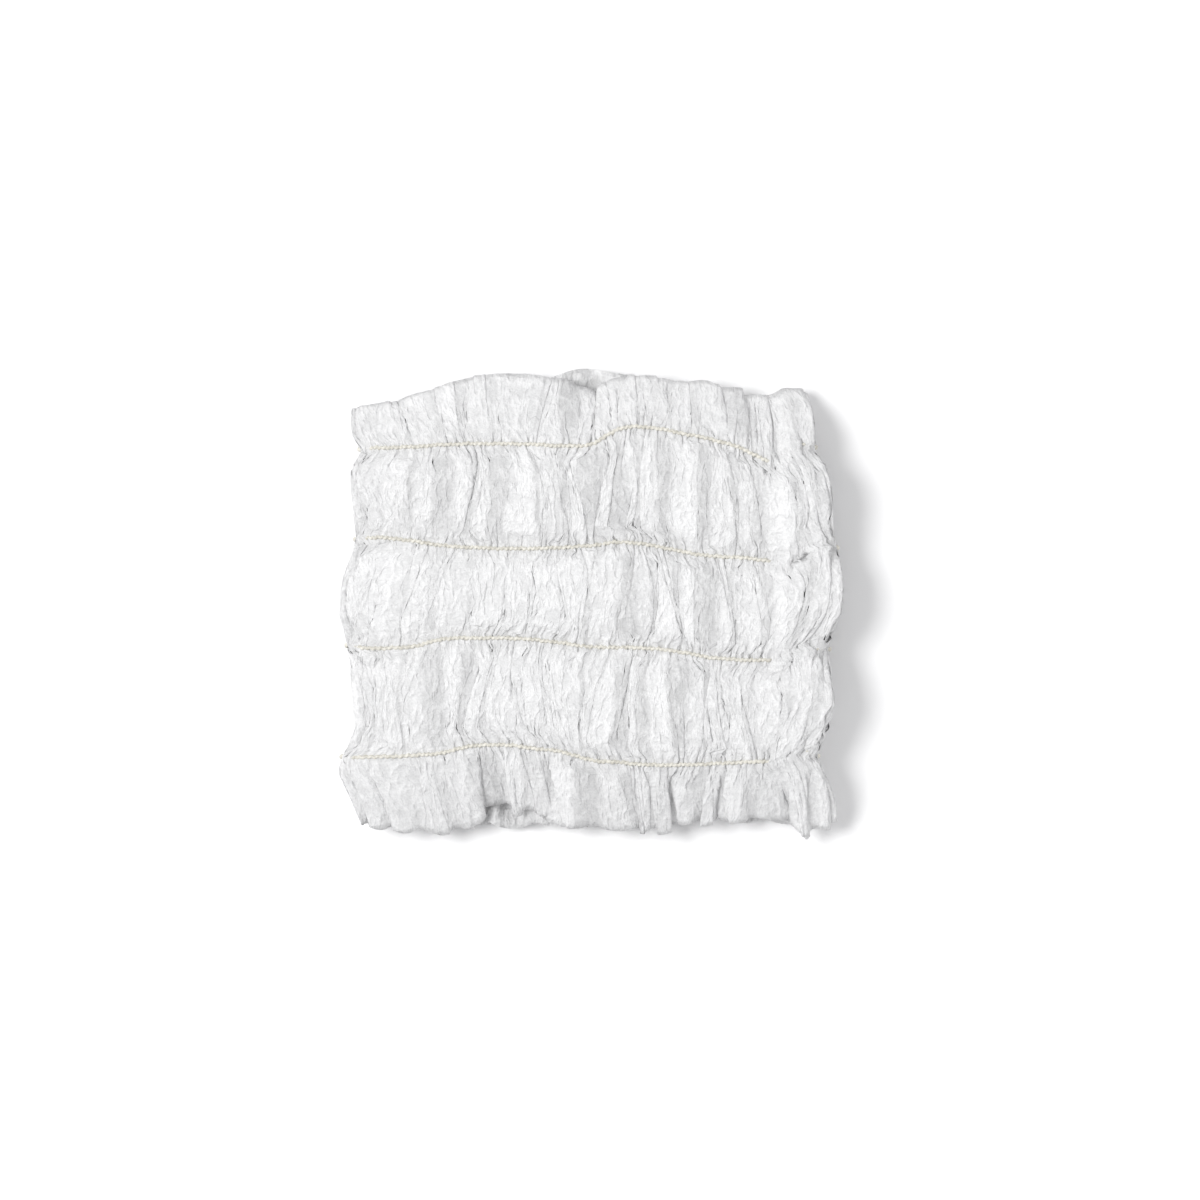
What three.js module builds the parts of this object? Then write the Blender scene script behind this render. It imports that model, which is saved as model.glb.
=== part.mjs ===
// Disposable headband: a strip of thin non-woven cloth, gathered by four stitched elastic threads and sewn
// into a loop, lying collapsed on a table. Millimetres, +Z up, +Y along the loop's axis. The origin is on the
// table under the middle of the loop. The front is the wall that faces up, and the back lies on the table.
import * as THREE from 'three';

// Driving dimensions
const wall = 1.4; // thickness of the cloth wall
const lineWidth = 96; // across the loop, outside, at an elastic line
const frontLevel = 14.6; // middle of the front wall above the table at an elastic line
const backLevel = 3.7; // middle of the back wall above the table at an elastic line
const frontPuff = 2.8; // the highest gather of the front above its elastic lines
const frontHollow = 0.5; // the hollows between gathers, above the elastic lines
const frillDip = 1.3; // how far the front frills' hollows sink towards their free edges
const frillDraw = 1.3; // how far a frill's edge draws back at its hollows
const backHollow = 1.3; // the back's hollows, below its elastic lines
const elasticRadius = 0.45;
const elasticSeat = 0.35; // from the cloth at the bottom of its groove to the elastic
const elasticSides = 6;
const elasticSteps = 76;
const seamRise = 1.3; // how far the lapped seam stands above the elastic lines
const seamHalf = 3.2; // from the seam's ridge to its far foot
const firstHalf = 2.4; // from the first gather's ridge to its near foot
const flankRise = 0.6; // height of a gather halfway up its flank, as a share of its ridge

const bend = (frontLevel - backLevel) / 2; // radius of the folded sides
const midLevel = (frontLevel + backLevel) / 2;
const flatHalf = (lineWidth - wall) / 2 - bend; // half the straight stretch between the folded sides
const backDrop = backLevel - wall / 2; // takes the back's outside down to the table

// The cloth's zones from the top edge down, and the lines between them
const zones = ['topFrill', 'upperPuff', 'middlePuff', 'lowerPuff', 'bottomFrill'];
const lines = ['topEdge', 'top', 'upper', 'lower', 'bottom', 'bottomEdge'];

// Where each gather of the front has its ridge, left to right, in each zone
const ridgeAt = [
  { topFrill: -42.5, upperPuff: -43.0, middlePuff: -43.5, lowerPuff: -43.0, bottomFrill: -42.5 },
  { topFrill: -38.5, upperPuff: -39.0, middlePuff: -38.0, lowerPuff: -39.5, bottomFrill: -38.0 },
  { topFrill: -33.0, upperPuff: -32.5, middlePuff: -31.0, lowerPuff: -34.0, bottomFrill: -33.0 },
  { topFrill: -27.5, upperPuff: -28.5, middlePuff: -25.5, lowerPuff: -28.0, bottomFrill: -27.5 },
  { topFrill: -23.0, upperPuff: -23.5, middlePuff: -20.0, lowerPuff: -21.5, bottomFrill: -21.5 },
  { topFrill: -17.5, upperPuff: -14.5, middlePuff: -14.0, lowerPuff: -14.5, bottomFrill: -15.5 },
  { topFrill: -12.0, upperPuff: -9.0, middlePuff: -7.5, lowerPuff: -9.5, bottomFrill: -10.0 },
  { topFrill: -8.0, upperPuff: -4.0, middlePuff: -2.0, lowerPuff: -4.5, bottomFrill: -3.0 },
  { topFrill: 0.0, upperPuff: 4.0, middlePuff: 5.0, lowerPuff: 1.5, bottomFrill: 4.0 },
  { topFrill: 6.5, upperPuff: 10.5, middlePuff: 11.0, lowerPuff: 8.5, bottomFrill: 11.0 },
  { topFrill: 11.5, upperPuff: 18.0, middlePuff: 15.5, lowerPuff: 13.5, bottomFrill: 17.0 },
  { topFrill: 17.0, upperPuff: 25.0, middlePuff: 20.5, lowerPuff: 22.0, bottomFrill: 22.0 },
  { topFrill: 24.0, upperPuff: 30.5, middlePuff: 27.5, lowerPuff: 28.5, bottomFrill: 27.0 },
  { topFrill: 32.0, upperPuff: 35.5, middlePuff: 33.5, lowerPuff: 34.0, bottomFrill: 33.0 },
  { topFrill: 40.0, upperPuff: 40.5, middlePuff: 40.0, lowerPuff: 39.5, bottomFrill: 40.0 },
];
const seamGather = ridgeAt.length - 1; // the last ridge is the lapped seam, which crosses every line

// How high each of those ridges stands, as a share of frontPuff
const ridgeRise = [
  { topFrill: 0.55, upperPuff: 0.70, middlePuff: 0.80, lowerPuff: 0.55, bottomFrill: 0.70 },
  { topFrill: 0.70, upperPuff: 0.75, middlePuff: 0.90, lowerPuff: 0.65, bottomFrill: 0.75 },
  { topFrill: 0.75, upperPuff: 0.60, middlePuff: 1.00, lowerPuff: 0.60, bottomFrill: 0.65 },
  { topFrill: 0.90, upperPuff: 0.70, middlePuff: 0.95, lowerPuff: 0.80, bottomFrill: 0.95 },
  { topFrill: 0.65, upperPuff: 0.85, middlePuff: 1.00, lowerPuff: 1.00, bottomFrill: 0.45 },
  { topFrill: 0.60, upperPuff: 1.00, middlePuff: 0.95, lowerPuff: 0.90, bottomFrill: 1.00 },
  { topFrill: 0.80, upperPuff: 0.65, middlePuff: 0.85, lowerPuff: 0.80, bottomFrill: 0.55 },
  { topFrill: 0.85, upperPuff: 0.90, middlePuff: 0.90, lowerPuff: 0.75, bottomFrill: 0.90 },
  { topFrill: 0.90, upperPuff: 0.80, middlePuff: 0.85, lowerPuff: 0.85, bottomFrill: 0.70 },
  { topFrill: 0.70, upperPuff: 0.95, middlePuff: 0.70, lowerPuff: 0.85, bottomFrill: 0.85 },
  { topFrill: 0.75, upperPuff: 1.00, middlePuff: 0.95, lowerPuff: 0.95, bottomFrill: 0.60 },
  { topFrill: 0.85, upperPuff: 0.95, middlePuff: 0.95, lowerPuff: 0.60, bottomFrill: 0.75 },
  { topFrill: 0.75, upperPuff: 0.80, middlePuff: 0.75, lowerPuff: 0.70, bottomFrill: 0.85 },
  { topFrill: 1.00, upperPuff: 0.85, middlePuff: 0.90, lowerPuff: 0.65, bottomFrill: 0.80 },
  { topFrill: 0.95, upperPuff: 0.80, middlePuff: 1.00, lowerPuff: 1.00, bottomFrill: 1.00 },
];

// Height along the axis of the front's free edges and elastic lines, at places across the front
const frontCourse = [
  { x: -48, topEdge: 39.0, top: 31.8, upper: 13.4, lower: -8.2, bottom: -31.0, bottomEdge: -43.0 },
  { x: -42, topEdge: 41.0, top: 32.0, upper: 13.7, lower: -8.8, bottom: -30.9, bottomEdge: -45.0 },
  { x: -36, topEdge: 43.0, top: 32.2, upper: 13.0, lower: -8.4, bottom: -30.6, bottomEdge: -45.9 },
  { x: -30, topEdge: 45.0, top: 32.6, upper: 12.1, lower: -6.9, bottom: -30.0, bottomEdge: -44.4 },
  { x: -24, topEdge: 46.0, top: 32.8, upper: 11.7, lower: -6.7, bottom: -28.6, bottomEdge: -42.5 },
  { x: -18, topEdge: 45.6, top: 32.8, upper: 11.5, lower: -6.7, bottom: -28.4, bottomEdge: -43.2 },
  { x: -12, topEdge: 45.0, top: 32.7, upper: 11.5, lower: -7.0, bottom: -29.1, bottomEdge: -42.0 },
  { x: -6, topEdge: 44.2, top: 32.4, upper: 11.7, lower: -7.7, bottom: -29.8, bottomEdge: -44.0 },
  { x: 0, topEdge: 43.2, top: 32.7, upper: 12.1, lower: -8.5, bottom: -31.5, bottomEdge: -46.0 },
  { x: 6, topEdge: 45.0, top: 35.9, upper: 12.8, lower: -8.6, bottom: -32.0, bottomEdge: -46.4 },
  { x: 12, topEdge: 46.0, top: 36.1, upper: 12.2, lower: -8.8, bottom: -32.5, bottomEdge: -46.5 },
  { x: 18, topEdge: 45.8, top: 35.0, upper: 11.0, lower: -9.5, bottom: -32.5, bottomEdge: -45.0 },
  { x: 24, topEdge: 45.2, top: 33.8, upper: 10.0, lower: -10.6, bottom: -32.3, bottomEdge: -44.2 },
  { x: 30, topEdge: 43.4, top: 32.1, upper: 9.7, lower: -11.1, bottom: -32.0, bottomEdge: -43.6 },
  { x: 36, topEdge: 43.0, top: 29.3, upper: 9.0, lower: -11.2, bottom: -31.7, bottomEdge: -44.0 },
  { x: 40, topEdge: 44.2, top: 28.2, upper: 8.2, lower: -11.2, bottom: -31.6, bottomEdge: -46.2 },
];
// Past the seam the other end of the strip starts again, a little higher
const pastSeam = { topEdge: 44.6, top: 32.2, upper: 11.6, lower: -9.2, bottom: -30.0, bottomEdge: -46.4 };

// Where a frill gapes: its free edge draws back in a notch, and the back shows
const gapes = [
  { edge: 'topEdge', x: -1.5, halfWidth: 5.0, depth: 1.6 },
  { edge: 'topEdge', x: 29.0, halfWidth: 3.0, depth: 1.6 },
  { edge: 'bottomEdge', x: -21.5, halfWidth: 3.6, depth: 6.5 },
  { edge: 'bottomEdge', x: 7.3, halfWidth: 2.8, depth: 5.0 },
  { edge: 'bottomEdge', x: 36.0, halfWidth: 3.2, depth: 4.5 },
];

// The back's free edges, which show past the front's in places
const backEdges = [
  { x: -50, topEdge: 40.0, bottomEdge: -41.5 },
  { x: -38, topEdge: 43.0, bottomEdge: -44.6 },
  { x: -26, topEdge: 46.2, bottomEdge: -45.5 },
  { x: -12, topEdge: 47.4, bottomEdge: -44.0 },
  { x: 2, topEdge: 48.0, bottomEdge: -46.6 },
  { x: 16, topEdge: 46.2, bottomEdge: -47.2 },
  { x: 28, topEdge: 45.6, bottomEdge: -45.4 },
  { x: 40, topEdge: 43.4, bottomEdge: -46.4 },
  { x: 50, topEdge: 42.6, bottomEdge: -46.6 },
];

// How far the folded sides swell past the elastic lines
const sideSwell = {
  left: { topFrill: 1.9, upperPuff: 1.7, middlePuff: 3.6, lowerPuff: 1.4, bottomFrill: 3.6 },
  right: { topFrill: -0.6, upperPuff: 2.4, middlePuff: 4.3, lowerPuff: 2.4, bottomFrill: 3.0 },
};
// Columns of the folded sides: turn from the front round to the back, and the share of the swell they take
const sideTurns = [
  { degrees: 52, share: 0.8 },
  { degrees: 74, share: 1.0 },
  { degrees: 94, share: 0.8 },
  { degrees: 114, share: 1.0 },
  { degrees: 136, share: 0.75 },
  { degrees: 160, share: 0.9 },
];

// The back has plain even gathers, pressed flat where they meet the table
const backGathers = 11;
const backFold = [
  { across: 0.05, drop: 1 },
  { across: 0.42, drop: 1 },
  { across: 0.62, drop: 0 },
  { across: 0.82, drop: 0 },
];

// Rows of the wall inside a zone: where, how much of the zone's swell they take, and how far the gathers have
// moved from their places on the elastic lines
const puffRows = [
  { share: 0.2, swell: 0.8, drift: 0.7 },
  { share: 0.5, swell: 1.0, drift: 1.0 },
  { share: 0.8, swell: 0.8, drift: 0.7 },
];
const frillRows = [
  { share: 0.0, swell: 1.0, drift: 1.0 },
  { share: 0.5, swell: 0.8, drift: 0.8 },
];

const mean = (a, b) => (a + b) / 2;
const mix = THREE.MathUtils.lerp;

// Value of a table's column at x, by a smooth curve through its rows
function course(table, column, x) {
  const last = table.length - 1;
  const after = table.findIndex((row) => row.x > x);
  const i = after < 0 ? last - 1 : Math.max(after - 1, 0);
  const slope = (k) => {
    const [a, b] = [table[Math.max(k - 1, 0)], table[Math.min(k + 1, last)]];
    return (b[column] - a[column]) / (b.x - a.x);
  };
  const [from, to] = [table[i], table[i + 1]];
  const span = to.x - from.x;
  const t = THREE.MathUtils.clamp((x - from.x) / span, 0, 1);
  const [t2, t3] = [t * t, t * t * t];
  return (2 * t3 - 3 * t2 + 1) * from[column] + (t3 - 2 * t2 + t) * span * slope(i)
    + (3 * t2 - 2 * t3) * to[column] + (t3 - t2) * span * slope(i + 1);
}

// How far a free edge draws back towards its elastic at x, more in a hollow and where the frill gapes
function drawBack(line, x, hollowShare) {
  if (!line.endsWith('Edge')) return 0;
  const notches = gapes.filter(({ edge }) => edge === line).map((gape) => {
    return gape.depth * Math.max(0, 1 - Math.abs(x - gape.x) / gape.halfWidth);
  });
  return Math.sign(frontCourse[0][line]) * (frillDraw * hollowShare + Math.max(...notches));
}

// A column of the front: one of the four that make a gather, a flank, the ridge, a flank and the hollow
function frontColumn(gather, part) {
  const isSeam = gather === seamGather;
  const next = Math.min(gather + 1, seamGather);
  const gap = (zone) => (isSeam ? seamHalf : (ridgeAt[next][zone] - ridgeAt[gather][zone]) / 2);
  const halfBefore = (zone) => (ridgeAt[gather][zone] - ridgeAt[gather - 1][zone]) / 2;
  const gapBefore = (zone) => (gather === 0 ? firstHalf : halfBefore(zone));
  const shift = [(zone) => -gapBefore(zone) / 2, () => 0, (zone) => gap(zone) / 2, gap][part];
  const crest = [flankRise, 1, flankRise, 0][part]; // share of the ridge's height
  const at = (zone) => ridgeAt[gather][zone] + shift(zone);
  return {
    isSeamRidge: isSeam && part === 1,
    at,
    place: (x) => {
      const onFlat = THREE.MathUtils.clamp(x, -flatHalf, flatHalf);
      return { x: onFlat, turn: Math.asin(THREE.MathUtils.clamp((x - onFlat) / bend, -1, 1)) };
    },
    swell: (zone) => {
      const hollow = zone.endsWith('Frill') ? -frillDip : frontHollow;
      return mix(hollow, ridgeRise[gather][zone] * frontPuff, crest);
    },
    height: (line, x) => {
      if (isSeam && part > 1) return pastSeam[line];
      const drawn = course(frontCourse, line, x) - drawBack(line, x, 1 - crest);
      return isSeam && part === 1 ? mean(drawn, pastSeam[line]) : drawn;
    },
  };
}

// Height along the axis of a line on the folded sides and the back, at x
function plainHeight(line, x) {
  if (line.endsWith('Edge')) return course(backEdges, line, x);
  const share = THREE.MathUtils.clamp(x / lineWidth + 0.5, 0, 1);
  return mix(frontCourse[0][line], pastSeam[line], share);
}

// The most that a folded side may swell at a turn without going through the table
function aboveTable(turn) {
  const facesDown = Math.cos(turn) < 0;
  return facesDown ? midLevel / -Math.cos(turn) - bend - wall / 2 : Infinity;
}

function sideColumn(side, { degrees, share }) {
  const sign = side === 'left' ? -1 : 1;
  const turn = sign * THREE.MathUtils.degToRad(degrees);
  return {
    at: () => sign * flatHalf,
    place: (x) => ({ x, turn }),
    swell: (zone) => Math.min(share * sideSwell[side][zone], aboveTable(turn)),
    height: (line) => plainHeight(line, (sign * lineWidth) / 2),
  };
}

function backColumn(gather, { across, drop }) {
  const x = flatHalf - (2 * flatHalf * (gather + across)) / backGathers;
  return {
    at: () => x,
    place: () => ({ x, turn: Math.PI }),
    swell: () => mix(backHollow, backDrop, drop),
    height: (line) => plainHeight(line, x),
    pressed: true,
  };
}

// All columns round the loop: over the front from left to right, then underneath from right to left
const columns = [
  ...ridgeAt.flatMap((_, gather) => [0, 1, 2, 3].map((part) => frontColumn(gather, part))),
  ...sideTurns.map((turn) => sideColumn('right', turn)),
  ...Array.from({ length: backGathers }, (_, gather) => {
    return backFold.map((part) => backColumn(gather, part));
  }).flat(),
  ...sideTurns.map((turn) => sideColumn('left', turn)).reverse(),
];
const seamColumn = columns.findIndex((column) => column.isSeamRidge);

// Rows of the wall from the top edge down. A row on an elastic line has no swell
const onLine = (line, above, below) => ({ line, above, below });
const rows = zones.flatMap((zone, k) => {
  const line = onLine(lines[k], zones[k - 1], zone);
  if (zone === 'topFrill') return frillRows.map((row) => ({ zone, k, ...row }));
  if (zone === 'bottomFrill') {
    const mirrored = frillRows.map((row) => ({ zone, k, ...row, share: 1 - row.share })).reverse();
    return [line, ...mirrored];
  }
  return [line, ...puffRows.map((row) => ({ zone, k, ...row }))];
});

// Place across the front of a column on an elastic line: midway between its places in the two zones
const lineAt = (column, above, below) => mean(column.at(above), column.at(below));

// A point of the wall's middle, moved out by extra
function wallPoint(column, row, extra) {
  let x, y, out;
  if (row.line) {
    x = lineAt(column, row.above, row.below);
    y = column.height(row.line, x);
    out = column.isSeamRidge ? seamRise : 0;
  } else {
    const { zone, k, share, swell, drift } = row;
    const nearAbove = zone === 'bottomFrill' || (zone !== 'topFrill' && share < 0.5);
    const lineX = nearAbove ? lineAt(column, zones[k - 1], zone) : lineAt(column, zone, zones[k + 1] ?? zone);
    x = mix(lineX, column.at(zone), drift);
    y = mix(column.height(lines[k], x), column.height(lines[k + 1], x), share);
    out = column.swell(zone) * (column.pressed ? 1 : swell);
  }
  const { x: centre, turn } = column.place(x);
  const reach = bend + out + extra;
  return [centre + reach * Math.sin(turn), y, midLevel + reach * Math.cos(turn)];
}

// The closed wall: an outer and an inner grid joined at the two free edges
function bandGeometry() {
  const across = columns.length;
  const layers = [wall / 2, -wall / 2];
  const rowPoints = (row, extra) => columns.flatMap((column) => wallPoint(column, row, extra));
  const points = layers.flatMap((extra) => rows.flatMap((row) => rowPoints(row, extra)));
  const index = (layer, row, column) => (layer * rows.length + row) * across + (column % across);
  const faces = [];
  const quad = (a, b, c, d) => faces.push(a, b, c, b, d, c);
  for (let column = 0; column < across; column++) {
    for (let row = 0; row < rows.length - 1; row++) {
      const corner = (layer, right, down) => index(layer, row + down, column + right);
      quad(corner(0, 0, 0), corner(0, 0, 1), corner(0, 1, 0), corner(0, 1, 1));
      quad(corner(1, 0, 0), corner(1, 1, 0), corner(1, 0, 1), corner(1, 1, 1));
    }
    const edge = (layer, right, row) => index(layer, row, column + right);
    const end = rows.length - 1;
    quad(edge(1, 0, 0), edge(0, 0, 0), edge(1, 1, 0), edge(0, 1, 0));
    quad(edge(0, 0, end), edge(1, 0, end), edge(0, 1, end), edge(1, 1, end));
  }
  const geometry = new THREE.BufferGeometry();
  geometry.setAttribute('position', new THREE.Float32BufferAttribute(points, 3));
  geometry.setIndex(faces);
  geometry.computeVertexNormals();
  return geometry;
}

// An elastic lies in its groove all the way round, from one side of the seam to the other
function elasticGeometry(line) {
  const row = rows.find((candidate) => candidate.line === line);
  const lift = wall / 2 + elasticSeat + elasticRadius;
  const round = columns.map((_, i) => columns[(seamColumn + 1 + i) % columns.length]).slice(0, -1);
  const path = new THREE.CatmullRomCurve3(round.map((c) => new THREE.Vector3(...wallPoint(c, row, lift))));
  const section = new THREE.Shape(Array.from({ length: elasticSides }, (_, i) => {
    const angle = (2 * Math.PI * i) / elasticSides;
    return new THREE.Vector2(elasticRadius * Math.cos(angle), elasticRadius * Math.sin(angle));
  }));
  return new THREE.ExtrudeGeometry(section, { steps: elasticSteps, extrudePath: path, bevelEnabled: false });
}

const cloth = new THREE.MeshStandardMaterial({ color: 0xf1f1f2, roughness: 0.95, metalness: 0 });
cloth.name = 'cloth';
const elastic = new THREE.MeshStandardMaterial({ color: 0xe8e3d5, roughness: 0.8, metalness: 0 });
elastic.name = 'elastic';

function piece(name, geometry, material) {
  const mesh = new THREE.Mesh(geometry, material);
  mesh.name = name;
  return mesh;
}

const headband = new THREE.Group();
headband.name = 'disposable_headband';
headband.add(piece('gathered_band', bandGeometry(), cloth));
for (const line of lines.slice(1, -1)) headband.add(piece(`elastic_${line}`, elasticGeometry(line), elastic));

export default headband;
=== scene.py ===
"""Disposable headband: thin white non-woven cloth, gathered by four stitched elastic threads into a
ruffled loop, lying collapsed on a white table. Metres, +Z up, +Y along the loop's axis, the seam near
the right side."""

import bpy
import numpy as np
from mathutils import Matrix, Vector


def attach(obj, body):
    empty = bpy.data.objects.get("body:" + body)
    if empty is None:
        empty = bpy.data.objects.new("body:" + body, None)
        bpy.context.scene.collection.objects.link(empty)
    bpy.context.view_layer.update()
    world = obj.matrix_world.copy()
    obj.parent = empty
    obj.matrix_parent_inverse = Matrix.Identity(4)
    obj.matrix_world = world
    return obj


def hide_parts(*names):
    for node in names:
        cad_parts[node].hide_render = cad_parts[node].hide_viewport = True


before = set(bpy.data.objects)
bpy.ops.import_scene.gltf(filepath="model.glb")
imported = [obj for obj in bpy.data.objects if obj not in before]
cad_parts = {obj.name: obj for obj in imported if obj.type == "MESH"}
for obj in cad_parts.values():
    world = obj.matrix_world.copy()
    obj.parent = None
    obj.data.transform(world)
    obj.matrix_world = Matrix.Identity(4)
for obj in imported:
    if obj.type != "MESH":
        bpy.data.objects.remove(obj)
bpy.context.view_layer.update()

# The table and the light
# A plain white table under a large soft light from the upper left, a weak one low on the right and even
# light from all round. The camera looks straight down on the loop, as the photograph does.
MM = 0.001  # metres
PHOTO_SIDE = 1200  # pixels
PHOTO_SCALE = 0.204 * MM  # metres of the object for each pixel
ORIGIN_PIXEL = np.array([591, 605])  # where the object's origin shows
CAMERA_DISTANCE = 0.9
FOCUS_HEIGHT = 12 * MM
SENSOR = 36.0  # millimetres

camera_data = bpy.data.cameras.new("camera")
camera_data.sensor_width = SENSOR
camera_data.lens = SENSOR * CAMERA_DISTANCE / (PHOTO_SIDE * PHOTO_SCALE)
camera_data.clip_start = 0.01
camera = bpy.data.objects.new("camera", camera_data)
middle = (PHOTO_SIDE / 2 - ORIGIN_PIXEL) * [PHOTO_SCALE, -PHOTO_SCALE]
camera.location = (*middle, FOCUS_HEIGHT + CAMERA_DISTANCE)
bpy.context.scene.collection.objects.link(camera)
bpy.context.scene.camera = camera


def new_material(name):
    """A material with an empty node tree, its makers of nodes and links, and its surface socket."""
    material = bpy.data.materials.new(name)
    material.use_nodes = True
    nodes, links = material.node_tree.nodes, material.node_tree.links
    nodes.clear()
    return material, nodes.new, links.new, nodes.new("ShaderNodeOutputMaterial").inputs["Surface"]


def mesh_object(name, points, faces, material):
    """An object at the origin whose mesh has these points (metres) and faces, smooth shaded."""
    mesh = bpy.data.meshes.new(name)
    mesh.from_pydata(points, [], faces)
    mesh.polygons.foreach_set("use_smooth", np.ones(len(mesh.polygons), bool))
    mesh.materials.append(material)
    piece = bpy.data.objects.new(name, mesh)
    bpy.context.scene.collection.objects.link(piece)
    return piece


TABLE_HALF = 3.0
table_white, node, link, surface = new_material("table_white")
paper = node("ShaderNodeBsdfPrincipled")
paper.inputs["Base Color"].default_value = (0.98, 0.98, 0.98, 1)
paper.inputs["Roughness"].default_value = 0.9
paper.inputs["Specular IOR Level"].default_value = 0.0
link(paper.outputs[0], surface)
corners = TABLE_HALF * np.array([[-1, -1, 0], [1, -1, 0], [1, 1, 0], [-1, 1, 0]])
table = mesh_object("table", corners, [[0, 1, 2, 3]], table_white)


def round_light(name, place, size, energy):
    """A round area light at a place, facing the origin."""
    data = bpy.data.lights.new(name, "AREA")
    data.shape = "DISK"
    data.size = size
    data.energy = energy
    light = bpy.data.objects.new(name, data)
    light.location = place
    light.rotation_mode = "QUATERNION"
    light.rotation_quaternion = Vector(place).to_track_quat("Z", "Y")
    bpy.context.scene.collection.objects.link(light)


round_light("key", place=(-1.0, 0.22, 1.68), size=0.8, energy=25.3)
round_light("fill", place=(0.9, 0.0, 0.3), size=0.5, energy=1.2)

world = bpy.data.worlds.new("room")
world.use_nodes = True
world.node_tree.nodes["Background"].inputs["Color"].default_value = (0.985, 0.985, 1.0, 1)
world.node_tree.nodes["Background"].inputs["Strength"].default_value = 0.605
bpy.context.scene.world = world
bpy.context.scene.view_settings.view_transform = "Standard"
bpy.context.scene.cycles.max_bounces = 24  # light passes through many layers of thin cloth
bpy.context.scene.cycles.diffuse_bounces = 12
bpy.context.scene.cycles.transmission_bounces = 24

# The gathered band
# One strip of thin white non-woven, cut flat and sewn end to end, which four stitched elastics draw up
# to a fraction of its length. It makes a frill at each edge and three puffed bands between the elastics.
# Sizes here are in mm.
FRONT_LEVEL = 14.6  # middle of the front wall above the table at an elastic line
BACK_LEVEL = 3.7
LINE_HALF = 47.5  # half the loop's width at an elastic line
CLOTH_THICKNESS = 0.28

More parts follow.
